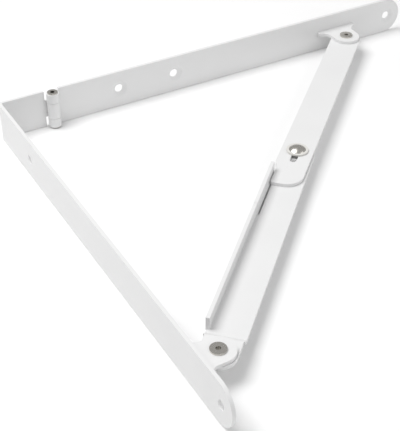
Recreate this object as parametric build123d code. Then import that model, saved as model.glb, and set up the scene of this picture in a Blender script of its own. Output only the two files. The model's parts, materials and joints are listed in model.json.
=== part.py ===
from build123d import *
import math
import os

# Folding shelf bracket, lying on its long edges. Millimetres.
# Origin: on the wall face, level with the hinge pin, at mid width.
# +X runs out along the shelf arm, -Y down the wall leg, +Z across the strip.

# ---- strip stock and overall reach ----
STRIP_W = 25.0
STRIP_T = 2.0
ARM_END_X = 306.0
WALL_END_Y = -278.75

# ---- hinge ----
PIN_X = 34.8
PIN_R = 2.0
PIN_BORE_R = 1.35
PIN_RIM_R = 3.3
PIN_RIM_T = 0.6
KNUCKLE_R = 4.05
MID_KNUCKLE_H = 11.0
KNUCKLE_END_Z = 11.5
ROLL_SLIT = 0.4
NOTCH_GAP = 0.85
AXIAL_GAP = 0.2

# ---- corner bend of the wall leaf ----
BEND_OUTER_R = 3.5
BEND_INNER_R = 1.5

# ---- fits ----
RUN_GAP = 0.05
LAYER_GAP = 0.1

# ---- screw holes ----
SCREW_R = 2.75
SINK_R = 5.6
SINK_DEPTH = 1.2
ARM_HOLES_X = (81.5, 121.7, 295.3)
WALL_HOLES_Y = (-46.0, -268.9)

# ---- link pivots ----
ARM_PIVOT_X = 250.0
WALL_PIVOT_Y = -239.15
KNEE_ALONG = 178.0
KNEE_OFFSET = 1.7

# ---- lugs ----
LUG_T = 2.0
LUG_REACH = 13.75
LUG_NOSE_R = 9.0
LUG_HALF_BASE = 14.8
LUG_SHOULDER = 3.0
LUG_TOP_Z = 1.7
WELD_LEG = 2.0
WELD_HALF = 12.0

# ---- upper link ----
LINK_T = 2.0
UPPER_HALF_W = 9.7
UPPER_TAIL = 36.0
TAIL_LEFT_W = 7.6
TAIL_STEP_FROM = 14.0
TAIL_STEP_TO = 19.0
TAIL_ROUND = 10.5
TAIL_CORNER_R = 1.5
SLOT_TRAVEL = 10.6

# ---- lower link ----
LOWER_HALF_W = 10.3
LOWER_END_R = 9.7
FLANGE_OUT = 10.7
FLANGE_H = 9.5
FLANGE_FROM = 16.0
FLANGE_TO = 113.0
FLANGE_BEND_R = 2.4
JOGGLE_FROM = 10.5
JOGGLE_RUN = 3.5
RELIEF_W = 4.0
RELIEF_NEAR = 9.0
RELIEF_FAR = 10.6

# ---- rivets ----
RIVET_R = 2.0
EYELET_BORE_R = 1.3
EYELET_RIM_R = 4.3
EYELET_RIM_T = 0.9
CLENCH_R = 3.3
CLENCH_T = 1.2
COLLAR_R = 6.5
COLLAR_T = 1.0
HEAD_R = 5.05
HEAD_H = 2.0

# ---- worked out from the sizes above ----
HALF_W = STRIP_W / 2
OUTER_Y = KNUCKLE_R
INNER_Y = OUTER_Y - STRIP_T
LEAF_TIP_X = PIN_X - KNUCKLE_R - NOTCH_GAP
ARM_START_X = PIN_X + KNUCKLE_R + NOTCH_GAP
LUG_LOW_Z = LUG_TOP_Z - LUG_T
UPPER_TOP_Z = LUG_LOW_Z - LAYER_GAP
UPPER_LOW_Z = UPPER_TOP_Z - LINK_T
LOWER_TOP_Z = UPPER_LOW_Z - LAYER_GAP
LOWER_LOW_Z = LOWER_TOP_Z - LINK_T
ARM_PIVOT = (ARM_PIVOT_X, INNER_Y - LUG_REACH)
WALL_PIVOT = (STRIP_T + LUG_REACH, WALL_PIVOT_Y)


def knee_point():
    """The knee: along the line from wall pivot to arm pivot, a little to the corner side."""
    dx = ARM_PIVOT[0] - WALL_PIVOT[0]
    dy = ARM_PIVOT[1] - WALL_PIVOT[1]
    reach = math.hypot(dx, dy)
    ux = dx / reach
    uy = dy / reach
    x = WALL_PIVOT[0] + KNEE_ALONG * ux - KNEE_OFFSET * uy
    y = WALL_PIVOT[1] + KNEE_ALONG * uy + KNEE_OFFSET * ux
    return (x, y)


KNEE = knee_point()
UPPER_LEN = math.dist(KNEE, ARM_PIVOT)
LOWER_LEN = math.dist(WALL_PIVOT, KNEE)
UPPER_ANGLE = math.degrees(math.atan2(ARM_PIVOT[1] - KNEE[1], ARM_PIVOT[0] - KNEE[0]))
LOWER_ANGLE = math.degrees(math.atan2(KNEE[1] - WALL_PIVOT[1], KNEE[0] - WALL_PIVOT[0]))


def block(x0, x1, y0, y1, z0, z1):
    """A box between two corners."""
    middle = Pos((x0 + x1) / 2, (y0 + y1) / 2, (z0 + z1) / 2)
    return middle * Box(x1 - x0, y1 - y0, z1 - z0)


def upright(x, y, radius, z0, z1):
    """A round bar along Z."""
    return Pos(x, y, (z0 + z1) / 2) * Cylinder(radius, z1 - z0)


def plate(outline, z0, z1):
    """A flat plate of one closed outline."""
    return Pos(0, 0, z0) * extrude(outline, amount=z1 - z0)


def at_link(origin, angle, shape):
    """Puts a link drawn along +X on its pivot, turned to its direction."""
    return Pos(origin[0], origin[1], 0) * Rot(0, 0, angle) * shape


def screw_cutter():
    """A countersunk hole along +Y, its wide mouth at Y = 0."""
    shank = Pos(0, STRIP_T / 2, 0) * Rot(90, 0, 0) * Cylinder(SCREW_R, STRIP_T * 2)
    sink = Pos(0, SINK_DEPTH / 2, 0) * Rot(-90, 0, 0) * Cone(SINK_R, SCREW_R, SINK_DEPTH)
    return shank + sink


def end_cutter():
    """What a semi-round end takes off a strip that ends at X = 0; thick along Y."""
    corner = block(-HALF_W, 1, -STRIP_T, STRIP_T * 2, -HALF_W - 1, HALF_W + 1)
    keep = Pos(-HALF_W, 0, 0) * Rot(90, 0, 0) * Cylinder(HALF_W, STRIP_T * 8)
    return corner - keep


def knuckle(bore_r, z0, z1, side):
    """A rolled barrel on the pin; side is +1 where its sheet goes off along +X."""
    ring = upright(PIN_X, 0, KNUCKLE_R, z0, z1)
    sheet = block(0, ARM_START_X - PIN_X, INNER_Y, OUTER_Y, z0, z1)
    sheet = Pos(PIN_X, 0, 0) * sheet
    slit = block(0, KNUCKLE_R + 1, INNER_Y - ROLL_SLIT, INNER_Y, z0, z1)
    slit = Pos(PIN_X, 0, 0) * slit
    if side < 0:
        sheet = sheet.mirror(Plane.YZ.offset(PIN_X))
        slit = slit.mirror(Plane.YZ.offset(PIN_X))
    bore = upright(PIN_X, 0, bore_r, z0 - 1, z1 + 1)
    return ring + sheet - bore - slit


def wall_leaf():
    """Wall leg and short shelf leg bent from one strip, with the middle knuckle rolled on it."""
    profile = make_face(Polyline(
        (0, WALL_END_Y),
        (0, OUTER_Y),
        (LEAF_TIP_X, OUTER_Y),
        (LEAF_TIP_X, INNER_Y),
        (STRIP_T, INNER_Y),
        (STRIP_T, WALL_END_Y),
        close=True,
    ))
    outer = profile.vertices().sort_by_distance((0, OUTER_Y, 0))[0:1]
    profile = fillet(outer, BEND_OUTER_R)
    inner = profile.vertices().sort_by_distance((STRIP_T, INNER_Y, 0))[0:1]
    profile = fillet(inner, BEND_INNER_R)
    leaf = plate(profile, -HALF_W, HALF_W)
    leaf -= Pos(0, WALL_END_Y, 0) * Rot(0, 0, -90) * end_cutter()
    for y in WALL_HOLES_Y:
        leaf -= Pos(STRIP_T, y, 0) * Rot(0, 0, 90) * screw_cutter()
    half = MID_KNUCKLE_H / 2
    return leaf + knuckle(PIN_R, -half, half, -1)


def shelf_arm():
    """The shelf leaf: a strip with two knuckles, one at each edge."""
    arm = block(ARM_START_X, ARM_END_X, INNER_Y, OUTER_Y, -HALF_W, HALF_W)
    arm -= Pos(ARM_END_X, INNER_Y, 0) * end_cutter()
    for x in ARM_HOLES_X:
        arm -= Pos(x, INNER_Y, 0) * screw_cutter()
    near = MID_KNUCKLE_H / 2 + AXIAL_GAP
    arm += knuckle(PIN_R + RUN_GAP, near, KNUCKLE_END_Z, 1)
    return arm + knuckle(PIN_R + RUN_GAP, -KNUCKLE_END_Z, -near, 1)


def hinge_pin():
    """A hollow pin, flared at both ends over the outer knuckles."""
    seat = KNUCKLE_END_Z + LAYER_GAP
    top = seat + PIN_RIM_T
    pin = upright(PIN_X, 0, PIN_R, -top, top)
    pin += upright(PIN_X, 0, PIN_RIM_R, seat, top)
    pin += upright(PIN_X, 0, PIN_RIM_R, -top, -seat)
    return pin - upright(PIN_X, 0, PIN_BORE_R, -top - 1, top + 1)


def lug():
    """A welded ear: square shoulders, concave flares and a round nose about its pivot hole."""
    flare = LUG_HALF_BASE - LUG_NOSE_R
    flare_top = LUG_SHOULDER + flare
    ear = block(-LUG_HALF_BASE, LUG_HALF_BASE, 0, LUG_SHOULDER, LUG_LOW_Z, LUG_TOP_Z)
    ear += block(-LUG_NOSE_R, LUG_NOSE_R, 0, LUG_REACH, LUG_LOW_Z, LUG_TOP_Z)
    ear += upright(0, LUG_REACH, LUG_NOSE_R, LUG_LOW_Z, LUG_TOP_Z)
    for side in (-1, 1):
        foot = side * LUG_HALF_BASE
        near = min(foot, side * LUG_NOSE_R)
        far = max(foot, side * LUG_NOSE_R)
        web = block(near, far, LUG_SHOULDER, flare_top, LUG_LOW_Z, LUG_TOP_Z)
        ear += web - upright(foot, flare_top, flare, LUG_LOW_Z, LUG_TOP_Z)
    bead = make_face(Polyline((0, 0), (WELD_LEG, 0), (0, -WELD_LEG), close=True))
    bead = Rot(0, 90, 0) * Rot(0, 0, 90) * extrude(bead, amount=WELD_HALF, both=True)
    ear += Pos(0, 0, LUG_LOW_Z) * bead
    return ear - upright(0, LUG_REACH, RIVET_R, LUG_LOW_Z - 1, LUG_TOP_Z + 1)


def arm_lug():
    """The lug under the shelf arm."""
    return Pos(ARM_PIVOT[0], INNER_Y, 0) * Rot(0, 0, 180) * lug()


def wall_lug():
    """The lug on the wall leg."""
    return Pos(STRIP_T, WALL_PIVOT[1], 0) * Rot(0, 0, -90) * lug()


def upper_link():
    """Flat link from the arm to the knee, slotted at the knee, its tail shaped to pass the flange."""
    w = UPPER_HALF_W
    tail = -UPPER_TAIL
    outline = make_face([
        Line((UPPER_LEN, w), (-TAIL_STEP_FROM, w)),
        Line((-TAIL_STEP_FROM, w), (-TAIL_STEP_TO, TAIL_LEFT_W)),
        Line((-TAIL_STEP_TO, TAIL_LEFT_W), (tail + TAIL_CORNER_R, TAIL_LEFT_W)),
        RadiusArc((tail + TAIL_CORNER_R, TAIL_LEFT_W), (tail, TAIL_LEFT_W - TAIL_CORNER_R), -TAIL_CORNER_R),
        Line((tail, TAIL_LEFT_W - TAIL_CORNER_R), (tail, TAIL_ROUND - w)),
        RadiusArc((tail, TAIL_ROUND - w), (tail + TAIL_ROUND, -w), -TAIL_ROUND),
        Line((tail + TAIL_ROUND, -w), (UPPER_LEN, -w)),
        RadiusArc((UPPER_LEN, -w), (UPPER_LEN, w), -w),
    ])
    link = plate(outline, UPPER_LOW_Z, UPPER_TOP_Z)
    hole_r = RIVET_R + RUN_GAP
    link -= upright(UPPER_LEN, 0, hole_r, UPPER_LOW_Z - 1, UPPER_TOP_Z + 1)
    link -= Pos(UPPER_LEN, 0, 0) * flared_foot(RUN_GAP)
    link -= upright(0, 0, hole_r, UPPER_LOW_Z - 1, UPPER_TOP_Z + 1)
    link -= upright(-SLOT_TRAVEL, 0, hole_r, UPPER_LOW_Z - 1, UPPER_TOP_Z + 1)
    link -= block(-SLOT_TRAVEL, 0, -hole_r, hole_r, UPPER_LOW_Z - 1, UPPER_TOP_Z + 1)
    return at_link(KNEE, UPPER_ANGLE, link)


def lower_link():
    """Link from the wall to the knee: joggled at the wall lug, with one edge turned up as a stop."""
    rise = UPPER_TOP_Z - LOWER_TOP_Z
    far = LOWER_LEN + LOWER_HALF_W
    side_view = make_face(Polyline(
        (-LOWER_END_R, LOWER_LOW_Z + rise),
        (JOGGLE_FROM, LOWER_LOW_Z + rise),
        (JOGGLE_FROM + JOGGLE_RUN, LOWER_LOW_Z),
        (far, LOWER_LOW_Z),
        (far, LOWER_TOP_Z),
        (JOGGLE_FROM + JOGGLE_RUN, LOWER_TOP_Z),
        (JOGGLE_FROM, LOWER_TOP_Z + rise),
        (-LOWER_END_R, LOWER_TOP_Z + rise),
        close=True,
    ))
    web = Rot(90, 0, 0) * extrude(side_view, amount=LOWER_HALF_W, both=True)
    low = LOWER_LOW_Z - 1
    high = UPPER_TOP_Z + 1
    plan = block(0, JOGGLE_FROM, -LOWER_END_R, LOWER_END_R, low, high)
    plan += upright(0, 0, LOWER_END_R, low, high)
    plan += block(JOGGLE_FROM, LOWER_LEN, -LOWER_HALF_W, LOWER_HALF_W, low, high)
    plan += upright(LOWER_LEN, 0, LOWER_HALF_W, low, high)
    link = web & plan
    flange_top = LOWER_LOW_Z + FLANGE_H
    flange = block(FLANGE_FROM, FLANGE_TO, FLANGE_OUT - LINK_T, FLANGE_OUT, LOWER_LOW_Z, flange_top)
    link += flange
    link -= block(FLANGE_FROM, FLANGE_TO, FLANGE_OUT - FLANGE_BEND_R, FLANGE_OUT + 1,
                  LOWER_LOW_Z - 1, LOWER_LOW_Z + FLANGE_BEND_R)
    bend = upright_along(FLANGE_FROM, FLANGE_TO, FLANGE_OUT - FLANGE_BEND_R,
                         LOWER_LOW_Z + FLANGE_BEND_R, FLANGE_BEND_R)
    link += bend & block(FLANGE_FROM, FLANGE_TO, FLANGE_OUT - FLANGE_BEND_R, FLANGE_OUT,
                         LOWER_LOW_Z, LOWER_LOW_Z + FLANGE_BEND_R)
    hole_r = RIVET_R + RUN_GAP
    link -= upright(0, 0, hole_r, low, high)
    link -= flared_foot(RUN_GAP)
    link -= upright(LOWER_LEN, 0, hole_r, low, high)
    near = LOWER_LEN - RELIEF_NEAR
    away = LOWER_LEN - RELIEF_FAR
    half = RELIEF_W / 2
    link -= block(away, near, -half, half, low, high)
    link -= upright(near, 0, half, low, high)
    link -= upright(away, 0, half, low, high)
    return at_link(WALL_PIVOT, LOWER_ANGLE, link)


def upright_along(x0, x1, y, z, radius):
    """A round bar along X."""
    return Pos((x0 + x1) / 2, y, z) * Rot(0, 90, 0) * Cylinder(radius, x1 - x0)


def flared_foot(spread):
    """The flared foot of an eyelet, flush with the underside of its link."""
    middle = UPPER_LOW_Z + CLENCH_T / 2
    return Pos(0, 0, middle) * Cone(CLENCH_R + spread, RIVET_R + spread, CLENCH_T)


def eyelet():
    """A hollow rivet through a lug and the link under it, its foot flared into the link."""
    rim_top = LUG_TOP_Z + EYELET_RIM_T
    rivet = upright(0, 0, RIVET_R, UPPER_LOW_Z, rim_top)
    rivet += upright(0, 0, EYELET_RIM_R, LUG_TOP_Z, rim_top)
    rivet += flared_foot(0)
    return rivet - upright(0, 0, EYELET_BORE_R, UPPER_LOW_Z - 1, rim_top + 1)


def arm_pivot_rivet():
    """The hollow rivet of the arm pivot."""
    return Pos(ARM_PIVOT[0], ARM_PIVOT[1], 0) * eyelet()


def wall_pivot_rivet():
    """The hollow rivet of the wall pivot."""
    return Pos(WALL_PIVOT[0], WALL_PIVOT[1], 0) * eyelet()


def knee_collar():
    """The washer that rides on the slotted link."""
    low = UPPER_TOP_Z + LAYER_GAP
    collar = upright(KNEE[0], KNEE[1], COLLAR_R, low, low + COLLAR_T)
    return collar - upright(KNEE[0], KNEE[1], RIVET_R, low - 1, low + COLLAR_T + 1)


def knee_rivet():
    """Domed rivet of the knee. Its shank ends just above the lower link: the loop is open here."""
    seat = UPPER_TOP_Z + LAYER_GAP + COLLAR_T
    ball_r = (HEAD_R ** 2 + HEAD_H ** 2) / (2 * HEAD_H)
    dome = Pos(KNEE[0], KNEE[1], seat + HEAD_H - ball_r) * Sphere(ball_r)
    dome = dome & upright(KNEE[0], KNEE[1], HEAD_R + 1, seat, seat + HEAD_H + 1)
    return dome + upright(KNEE[0], KNEE[1], RIVET_R, UPPER_LOW_Z, seat)


NODES = {
    "wall_leaf": wall_leaf,
    "wall_lug": wall_lug,
    "wall_pivot_rivet": wall_pivot_rivet,
    "hinge_pin": hinge_pin,
    "shelf_arm": shelf_arm,
    "arm_lug": arm_lug,
    "arm_pivot_rivet": arm_pivot_rivet,
    "upper_link": upper_link,
    "knee_rivet": knee_rivet,
    "knee_collar": knee_collar,
    "lower_link": lower_link,
}


def main():
    os.makedirs("parts", exist_ok=True)
    for name, make in NODES.items():
        solid = make()
        box = solid.bounding_box()
        print(name, len(solid.solids()), round(solid.volume, 1), box.min, box.max)
        export_step(solid, f"parts/{name}.step")
    print("knee", KNEE, "angles", UPPER_ANGLE, LOWER_ANGLE, "lengths", UPPER_LEN, LOWER_LEN)


main()
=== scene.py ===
import json
import math

import bpy
import numpy as np
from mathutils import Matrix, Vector


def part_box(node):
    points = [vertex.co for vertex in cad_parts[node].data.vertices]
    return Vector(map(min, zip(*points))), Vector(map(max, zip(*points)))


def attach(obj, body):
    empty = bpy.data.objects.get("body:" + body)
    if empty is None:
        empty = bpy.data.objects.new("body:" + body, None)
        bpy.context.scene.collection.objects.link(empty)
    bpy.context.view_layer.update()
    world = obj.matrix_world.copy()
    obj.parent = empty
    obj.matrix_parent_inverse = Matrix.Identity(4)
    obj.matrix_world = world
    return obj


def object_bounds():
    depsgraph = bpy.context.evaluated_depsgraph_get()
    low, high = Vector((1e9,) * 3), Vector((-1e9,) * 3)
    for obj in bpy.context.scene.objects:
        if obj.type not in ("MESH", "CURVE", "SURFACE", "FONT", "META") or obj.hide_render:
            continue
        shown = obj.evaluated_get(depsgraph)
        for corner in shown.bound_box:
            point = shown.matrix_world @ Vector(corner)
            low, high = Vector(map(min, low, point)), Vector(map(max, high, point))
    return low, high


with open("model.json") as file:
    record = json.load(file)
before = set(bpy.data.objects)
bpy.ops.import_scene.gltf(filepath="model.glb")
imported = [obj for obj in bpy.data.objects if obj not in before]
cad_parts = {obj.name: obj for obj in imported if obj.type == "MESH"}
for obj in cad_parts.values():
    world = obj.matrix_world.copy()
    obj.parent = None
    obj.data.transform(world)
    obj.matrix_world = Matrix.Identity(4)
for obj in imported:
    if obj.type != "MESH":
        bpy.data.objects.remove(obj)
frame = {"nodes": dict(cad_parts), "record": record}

bl_info = {
    "name": "Folding shelf bracket",
    "version": (1, 0, 0),
    "blender": (4, 5, 0),
    "location": "View3D > Sidebar > Bracket",
    "description": "White folding shelf bracket with riveted links, on a pale floor",
    "category": "Object",
}

CAD_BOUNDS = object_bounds()
PAINTED = ("wall_leaf", "wall_lug", "shelf_arm", "arm_lug", "upper_link", "lower_link")
METAL = ("wall_pivot_rivet", "arm_pivot_rivet", "hinge_pin", "knee_rivet")
WASHERS = ("knee_collar",)
BEND_STEPS = 9
WEB_JOIN = 0.0075
LEAST_RADIUS = 0.0002
FLOOR_HALF = 3.0
FLOOR_DROP = 0.0002
CAMERA_PLACE = (-0.17124, -0.55563, 0.35548)
CAMERA_LOOK = (0.3908, 0.6979, -0.6001)
KEY_OFFSET = (-0.5, 0.3, 1.1)
FILL_OFFSET = (0.7, -0.9, 0.8)
KEY_SIZE = 0.7
FILL_SIZE = 0.9
WORLD_STRENGTH = 0.45


class PaintSizes(bpy.types.PropertyGroup):
    """Colour and texture of the white coat."""

    colour: bpy.props.FloatVectorProperty(
        name="Coat colour", description="Colour of the white coat",
        default=(0.80, 0.80, 0.80), subtype="COLOR", size=3, min=0.0, max=1.0)
    roughness: bpy.props.FloatProperty(
        name="Coat roughness", description="How matt the coat is", default=0.34, min=0.0, max=1.0)
    peel: bpy.props.FloatProperty(
        name="Orange peel size", description="Grain size of the coat", default=0.0016, unit="LENGTH")


class MetalSizes(bpy.types.PropertyGroup):
    """Colour of the rivets and the pin."""

    colour: bpy.props.FloatVectorProperty(
        name="Nickel colour", description="Colour of the plated rivets",
        default=(0.62, 0.60, 0.56), subtype="COLOR", size=3, min=0.0, max=1.0)
    washer: bpy.props.FloatVectorProperty(
        name="Washer colour", description="Colour of the knee washer",
        default=(0.72, 0.71, 0.68), subtype="COLOR", size=3, min=0.0, max=1.0)


class FlangeSizes(bpy.types.PropertyGroup):
    """The lower link's upright stop edge, beyond the stretch that its solid has."""

    reach: bpy.props.FloatProperty(
        name="Edge end", description="Where the edge ends, from the wall pivot", default=0.155,
        unit="LENGTH")
    start: bpy.props.FloatProperty(
        name="Edge start", description="Where the drawn stretch starts", default=0.1128,
        unit="LENGTH")
    outer: bpy.props.FloatProperty(
        name="Edge offset", description="Outer face, from the link's middle line", default=0.0107,
        unit="LENGTH")
    thickness: bpy.props.FloatProperty(
        name="Sheet", description="Thickness of the sheet", default=0.002, unit="LENGTH")
    bend: bpy.props.FloatProperty(
        name="Bend radius", description="Outer radius of the fold", default=0.0024, unit="LENGTH")


class StageSizes(bpy.types.PropertyGroup):
    """Floor, lamps and camera."""

    key: bpy.props.FloatProperty(
        name="Key lamp", description="Power of the large soft lamp", default=11.0, unit="POWER")
    fill: bpy.props.FloatProperty(
        name="Fill lamp", description="Power of the weaker lamp", default=4.0, unit="POWER")
    lens: bpy.props.FloatProperty(
        name="Lens", description="Focal length", default=90.7, unit="CAMERA")


def grain_group():
    """Coat grain: large soft blotches tint the colour a little, fine noise gives the height."""
    tree = bpy.data.node_groups.new("coat_grain", "ShaderNodeTree")
    for name, kind, value in (("Colour", "NodeSocketColor", (0.8, 0.8, 0.8, 1.0)),
                              ("Scale", "NodeSocketFloat", 600.0),
                              ("Roughness", "NodeSocketFloat", 0.35)):
        socket = tree.interface.new_socket(name, in_out="INPUT", socket_type=kind)
        socket.default_value = value
    for name, kind in (("Colour", "NodeSocketColor"), ("Roughness", "NodeSocketFloat"),
                       ("Height", "NodeSocketFloat")):
        tree.interface.new_socket(name, in_out="OUTPUT", socket_type=kind)
    nodes = tree.nodes
    link = tree.links.new
    taken = nodes.new("NodeGroupInput")
    given = nodes.new("NodeGroupOutput")
    place = nodes.new("ShaderNodeTexCoord")
    fine = nodes.new("ShaderNodeTexNoise")
    fine.inputs["Detail"].default_value = 3.0
    broad = nodes.new("ShaderNodeTexNoise")
    broad.inputs["Scale"].default_value = 28.0
    tint = nodes.new("ShaderNodeMix")
    tint.data_type = "RGBA"
    tint.blend_type = "MULTIPLY"
    shade = nodes.new("ShaderNodeMapRange")
    shade.inputs["To Min"].default_value = 0.95
    shade.inputs["To Max"].default_value = 1.0
    tint.inputs["Factor"].default_value = 1.0
    rough = nodes.new("ShaderNodeMath")
    rough.operation = "MULTIPLY_ADD"
    rough.inputs[1].default_value = 0.12
    link(place.outputs["Object"], fine.inputs["Vector"])
    link(place.outputs["Object"], broad.inputs["Vector"])
    link(taken.outputs["Scale"], fine.inputs["Scale"])
    link(broad.outputs["Fac"], shade.inputs["Value"])
    link(taken.outputs["Colour"], tint.inputs["A"])
    link(shade.outputs["Result"], tint.inputs["B"])
    link(tint.outputs["Result"], given.inputs["Colour"])
    link(fine.outputs["Fac"], rough.inputs[0])
    link(taken.outputs["Roughness"], rough.inputs[2])
    link(rough.outputs["Value"], given.inputs["Roughness"])
    link(fine.outputs["Fac"], given.inputs["Height"])
    return tree


def finish_material(name, colour, roughness, scale, depth, metallic=0.0):
    """A coat or metal: the grain group drives colour, roughness and bump."""
    material = bpy.data.materials.new(name)
    material.use_nodes = True
    nodes = material.node_tree.nodes
    link = material.node_tree.links.new
    shader = nodes["Principled BSDF"]
    shader.inputs["Metallic"].default_value = metallic
    grain = nodes.new("ShaderNodeGroup")
    grain.node_tree = bpy.data.node_groups.get("coat_grain") or grain_group()
    grain.inputs["Colour"].default_value = (*colour, 1.0)
    grain.inputs["Scale"].default_value = scale
    grain.inputs["Roughness"].default_value = roughness
    bump = nodes.new("ShaderNodeBump")
    bump.inputs["Distance"].default_value = depth
    bump.inputs["Strength"].default_value = 0.35
    link(grain.outputs["Colour"], shader.inputs["Base Color"])
    link(grain.outputs["Roughness"], shader.inputs["Roughness"])
    link(grain.outputs["Height"], bump.inputs["Height"])
    link(bump.outputs["Normal"], shader.inputs["Normal"])
    return material


def dress(names, material):
    """Puts one finish on several nodes."""
    for name in names:
        node = frame["nodes"][name]
        for slot in node.material_slots:
            slot.material = material


def pivot(joint_name):
    """A joint's place in the frame."""
    for joint in frame["record"]["behaviour"]["joints"]:
        if joint["name"] == joint_name:
            return np.array(joint["pos_m"])
    raise ValueError("no joint " + joint_name)


class BRACKET_OT_paint(bpy.types.Operator):
    """Paint the strips, lugs and links white."""

    bl_idname = "bracket.paint"
    bl_label = "White coat"

    def execute(self, context):
        sizes = context.scene.bracket_paint
        coat = finish_material(
            "white_coat", sizes.colour, sizes.roughness, 1.0 / sizes.peel, 0.00004)
        dress(PAINTED, coat)
        return {"FINISHED"}


class BRACKET_OT_metal(bpy.types.Operator):
    """Plate the rivets and the pin, and finish the knee washer."""

    bl_idname = "bracket.metal"
    bl_label = "Nickel rivets"

    def execute(self, context):
        sizes = context.scene.bracket_metal
        dress(METAL, finish_material("nickel", sizes.colour, 0.20, 1500.0, 0.00002, 1.0))
        dress(WASHERS, finish_material("washer", sizes.washer, 0.40, 900.0, 0.00002))
        return {"FINISHED"}


class BRACKET_OT_stop_edge(bpy.types.Operator):
    """Carry the lower link's upright stop edge on towards the knee."""

    bl_idname = "bracket.stop_edge"
    bl_label = "Stop edge"

    def execute(self, context):
        """An L section, foot and upright joined by a quarter circle, carried along the link."""
        sizes = context.scene.bracket_flange
        low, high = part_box("lower_link")
        foot = pivot("lower_link_swing")
        knee_low, knee_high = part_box("knee_rivet")
        knee = (np.array(knee_low) + np.array(knee_high)) / 2
        along = (knee - foot)[:2]
        along = along / np.linalg.norm(along)
        across = np.array([-along[1], along[0]])
        turn = np.linspace(math.pi, math.pi * 1.5, BEND_STEPS)
        centre = sizes.outer - sizes.bend
        inner = max(sizes.bend - sizes.thickness, LEAST_RADIUS)
        side = centre - sizes.bend * np.cos(turn)
        rise = low[2] + sizes.bend + sizes.bend * np.sin(turn)
        side_in = centre - inner * np.cos(turn[::-1])
        rise_in = low[2] + sizes.bend + inner * np.sin(turn[::-1])
        section = np.concatenate((
            [[sizes.outer, high[2]]],
            np.stack((side, rise), axis=1),
            [[WEB_JOIN, low[2]], [WEB_JOIN, low[2] + sizes.thickness]],
            np.stack((side_in, rise_in), axis=1),
            [[sizes.outer - sizes.thickness, high[2]]],
        ))
        count = len(section)
        reach = np.array([sizes.start, sizes.reach])
        flat = foot[:2] + reach[:, None, None] * along + section[None, :, :1] * across
        height = np.broadcast_to(section[None, :, 1:], (2, count, 1))
        points = np.concatenate((flat, height), axis=2).reshape(-1, 3)
        index = np.arange(count)
        after = (index + 1) % count
        sides = np.stack((index, after, after + count, index + count), axis=1).tolist()
        caps = [index[::-1].tolist(), (index + count).tolist()]
        mesh = bpy.data.meshes.new("stop_edge")
        mesh.from_pydata(points.tolist(), [], sides + caps)
        mesh.validate()
        piece = bpy.data.objects.new("stop_edge", mesh)
        context.collection.objects.link(piece)
        mesh.materials.append(bpy.data.materials["white_coat"])
        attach(piece, "lower_link")
        return {"FINISHED"}


class BRACKET_OT_stage(bpy.types.Operator):
    """Floor, soft lamps and camera."""

    bl_idname = "bracket.stage"
    bl_label = "Stage"

    def execute(self, context):
        sizes = context.scene.bracket_stage
        low = CAD_BOUNDS[0]
        middle = (Vector(CAD_BOUNDS[0]) + Vector(CAD_BOUNDS[1])) / 2
        mesh = bpy.data.meshes.new("floor")
        half = FLOOR_HALF
        z = low[2] - FLOOR_DROP
        mesh.from_pydata([(-half, -half, z), (half, -half, z), (half, half, z), (-half, half, z)],
                         [], [(0, 1, 2, 3)])
        floor = bpy.data.objects.new("floor", mesh)
        context.collection.objects.link(floor)
        mesh.materials.append(floor_material())
        lamp(context, "key", middle + Vector(KEY_OFFSET), middle, sizes.key, KEY_SIZE)
        lamp(context, "fill", middle + Vector(FILL_OFFSET), middle, sizes.fill, FILL_SIZE)
        world = bpy.data.worlds.new("studio")
        world.use_nodes = True
        world.node_tree.nodes["Background"].inputs["Color"].default_value = (1, 1, 1, 1)
        world.node_tree.nodes["Background"].inputs["Strength"].default_value = WORLD_STRENGTH
        context.scene.world = world
        camera = bpy.data.cameras.new("camera")
        camera.lens = sizes.lens
        camera.clip_start = 0.01
        eye = bpy.data.objects.new("camera", camera)
        context.collection.objects.link(eye)
        eye.location = CAMERA_PLACE
        look = Vector(CAMERA_LOOK)
        eye.rotation_mode = "QUATERNION"
        eye.rotation_quaternion = look.to_track_quat("-Z", "Y")
        context.scene.camera = eye
        context.scene.view_settings.view_transform = "Standard"
        return {"FINISHED"}


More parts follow.
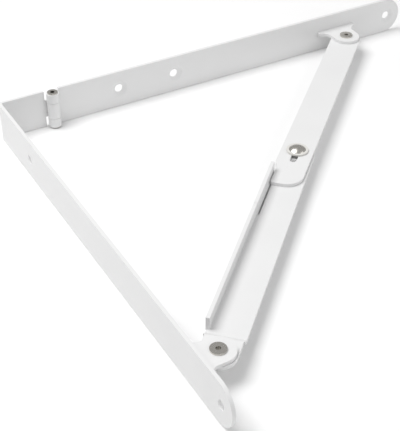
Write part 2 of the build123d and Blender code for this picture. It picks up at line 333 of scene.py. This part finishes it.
def floor_material():
    """A pale matt floor."""
    material = bpy.data.materials.new("floor")
    material.use_nodes = True
    shader = material.node_tree.nodes["Principled BSDF"]
    shader.inputs["Base Color"].default_value = (0.93, 0.93, 0.93, 1)
    shader.inputs["Roughness"].default_value = 0.8
    return material


def lamp(context, name, place, target, power, size):
    """A square soft lamp turned to the object."""
    light = bpy.data.lights.new(name, "AREA")
    light.energy = power
    light.size = size
    holder = bpy.data.objects.new(name, light)
    context.collection.objects.link(holder)
    holder.location = place
    holder.rotation_mode = "QUATERNION"
    holder.rotation_quaternion = (target - place).to_track_quat("-Z", "Y")


class BRACKET_PT_panel(bpy.types.Panel):
    """Lists the bracket's steps."""

    bl_idname = "BRACKET_PT_panel"
    bl_label = "Bracket"
    bl_space_type = "VIEW_3D"
    bl_region_type = "UI"
    bl_category = "Bracket"

    def draw(self, context):
        for step in STEPS:
            self.layout.operator(step.bl_idname)
        for name in GROUPS:
            group = getattr(context.scene, name)
            for key in group.bl_rna.properties.keys():
                if key not in ("rna_type", "name"):
                    self.layout.prop(group, key)


STEPS = (BRACKET_OT_paint, BRACKET_OT_metal, BRACKET_OT_stop_edge, BRACKET_OT_stage)
GROUPS = {
    "bracket_paint": PaintSizes,
    "bracket_metal": MetalSizes,
    "bracket_flange": FlangeSizes,
    "bracket_stage": StageSizes,
}


def register():
    """Registers the groups, the steps and the panel."""
    for name, group in GROUPS.items():
        bpy.utils.register_class(group)
        setattr(bpy.types.Scene, name, bpy.props.PointerProperty(type=group))
    for step in STEPS:
        bpy.utils.register_class(step)
    bpy.utils.register_class(BRACKET_PT_panel)


def unregister():
    """Takes them away again."""
    bpy.utils.unregister_class(BRACKET_PT_panel)
    for step in reversed(STEPS):
        bpy.utils.unregister_class(step)
    for name, group in GROUPS.items():
        delattr(bpy.types.Scene, name)
        bpy.utils.unregister_class(group)


def main():
    """Builds the object and the stage."""
    register()
    bpy.ops.bracket.paint()
    bpy.ops.bracket.metal()
    bpy.ops.bracket.stop_edge()
    bpy.ops.bracket.stage()


if __name__ == "__main__":
    main()
